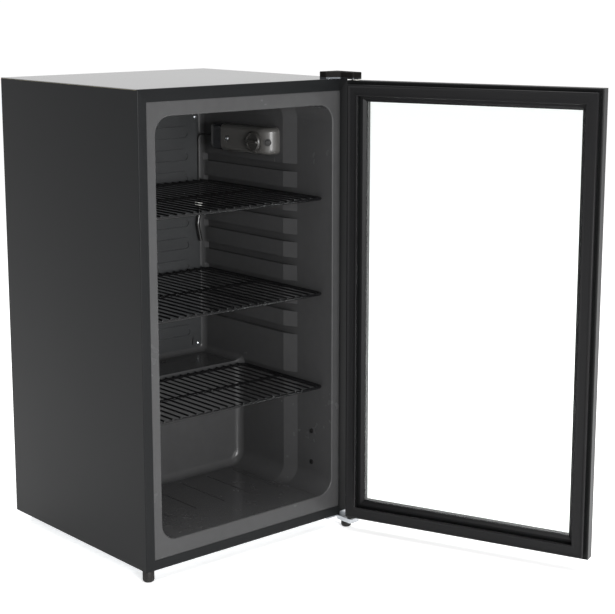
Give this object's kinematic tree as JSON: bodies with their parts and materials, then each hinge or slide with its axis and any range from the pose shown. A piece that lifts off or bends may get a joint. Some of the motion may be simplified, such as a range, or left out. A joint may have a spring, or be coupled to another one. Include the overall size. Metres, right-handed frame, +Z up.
{
  "type": "glass door merchandiser",
  "caption": "Compact black upright drinks cooler with one framed glass door standing open, wire shelves, a wall-mounted control and lamp box, levelling feet and a wire condenser at the back.",
  "frame": {"origin": "On the floor, under the middle of the cabinet body (the door stands open, so the box around everything is off-centre).", "axes": "+X is the cabinet's right seen from the front, the hinge side; +Y points to the back; +Z is up."},
  "size_m": [0.612, 0.884, 0.832],
  "materials": {
    "cabinet_paint": "satin black powder coat",
    "liner_plastic": "satin black vacuum-formed polystyrene",
    "door_aluminium": "black anodised, fine satin",
    "gasket_rubber": "soft extruded PVC, satin",
    "clear_glass": "clear toughened",
    "spacer_bar": "black warm-edge spacer",
    "black_plastic": "moulded ABS, fine grain",
    "white_plastic": "moulded nylon",
    "acetal_white": "turned acetal",
    "smoke_lens": "smoked polystyrene, fluted",
    "shelf_coating": "black PE-coated steel wire",
    "zinc_plate": "zinc-plated",
    "evaporator_paint": "black-coated roll-bond aluminium",
    "galvanised_sheet": "hot-dip galvanised",
    "compressor_enamel": "black enamel",
    "black_rubber": "moulded",
    "copper_tube": "drawn copper, tarnished",
    "polyurethane_foam": "rigid foam",
    "magnet_ferrite": "bonded ferrite",
    "circuit_board": "white-masked board with two diodes"
  },
  "bodies": {
    "cabinet": {"outer_wrapper": "cabinet_paint", "bottom_front_rail": "cabinet_paint", "back_panel": "galvanised_sheet", "base_plate": "galvanised_sheet", "machine_bulkhead": "galvanised_sheet", "rear_crossbar": "galvanised_sheet", "cord_gland": "black_rubber", "insulation_foam": "polyurethane_foam", "inner_liner": "liner_plastic", "liner_plugs": "black_plastic", "evaporator_plate": "evaporator_paint", "evaporator_screws": "zinc_plate", "capillary_tube": "black_rubber", "sensor_bulb": "black_rubber", "bulb_clip": "white_plastic", "control_housing": "black_plastic", "lamp_lens": "smoke_lens", "lamp_board": "circuit_board", "housing_screw": "zinc_plate", "thermostat_body": "black_plastic", "switch_body": "black_plastic", "compressor": "compressor_enamel", "compressor_mounts": "black_rubber", "relay_cover": "black_plastic", "drip_pan": "black_plastic", "drain_tube": "black_plastic", "filter_drier": "copper_tube", "discharge_tube": "copper_tube", "suction_tube": "copper_tube", "condenser_tube": "compressor_enamel", "condenser_wires": "compressor_enamel", "condenser_brackets": "black_plastic", "foot_nut": "zinc_plate", "rear_feet": "black_rubber", "top_hinge_bracket": "zinc_plate", "top_hinge_cover": "black_plastic", "top_hinge_screws": "zinc_plate", "bottom_hinge_bracket": "zinc_plate", "bottom_hinge_screws": "zinc_plate"},
    "door": {"door_rail_bottom": "door_aluminium", "door_stile_free": "door_aluminium", "door_rail_top": "door_aluminium", "door_stile_hinge": "door_aluminium", "corner_keys": "black_plastic", "hinge_bush_bottom": "acetal_white", "hinge_bush_top": "acetal_white", "glass_outer": "clear_glass", "glass_inner": "clear_glass", "glass_spacer": "spacer_bar", "glazing_bead": "black_plastic", "door_gasket": "gasket_rubber", "magnet_strips": "magnet_ferrite"},
    "shelf_top": {"shelf_top": "shelf_coating"},
    "shelf_middle": {"shelf_middle": "shelf_coating"},
    "shelf_bottom": {"shelf_bottom": "shelf_coating"},
    "thermostat_knob": {"thermostat_knob": "black_plastic", "thermostat_spindle": "acetal_white"},
    "switch_button": {"switch_button": "black_plastic"},
    "front_left_foot": {"front_left_foot": "black_plastic"},
    "front_right_foot": {"front_right_foot": "black_plastic"}
  },
  "joints": [
    {"name": "door_hinge", "type": "hinge", "parent": "cabinet", "child": "door", "pos_m": [0.2193, -0.2352, 0.02], "axis": [0, 0, 1], "range_deg": [-110.9, 24.1]},
    {"name": "shelf_top_slide", "type": "slide", "parent": "cabinet", "child": "shelf_top", "axis": [0, -1, 0], "range_m": [0, 0.3]},
    {"name": "shelf_middle_slide", "type": "slide", "parent": "cabinet", "child": "shelf_middle", "axis": [0, -1, 0], "range_m": [0, 0.3]},
    {"name": "shelf_bottom_slide", "type": "slide", "parent": "cabinet", "child": "shelf_bottom", "axis": [0, -1, 0], "range_m": [0, 0.2]},
    {"name": "thermostat_turn", "type": "hinge", "parent": "cabinet", "child": "thermostat_knob", "pos_m": [0.15, -0.038, 0.7], "axis": [1, 0, 0], "range_deg": [-135, 135]},
    {"name": "light_switch_press", "type": "slide", "parent": "cabinet", "child": "switch_button", "axis": [0.7071, 0.7071, 0], "range_m": [0, 0.002], "stiffness_N_per_m": 400},
    {"name": "left_foot_level", "type": "slide", "parent": "cabinet", "child": "front_left_foot", "axis": [0, 0, -1], "range_m": [0, 0.005]},
    {"name": "right_foot_level", "type": "slide", "parent": "cabinet", "child": "front_right_foot", "axis": [0, 0, -1], "range_m": [0, 0.005]}
  ]
}
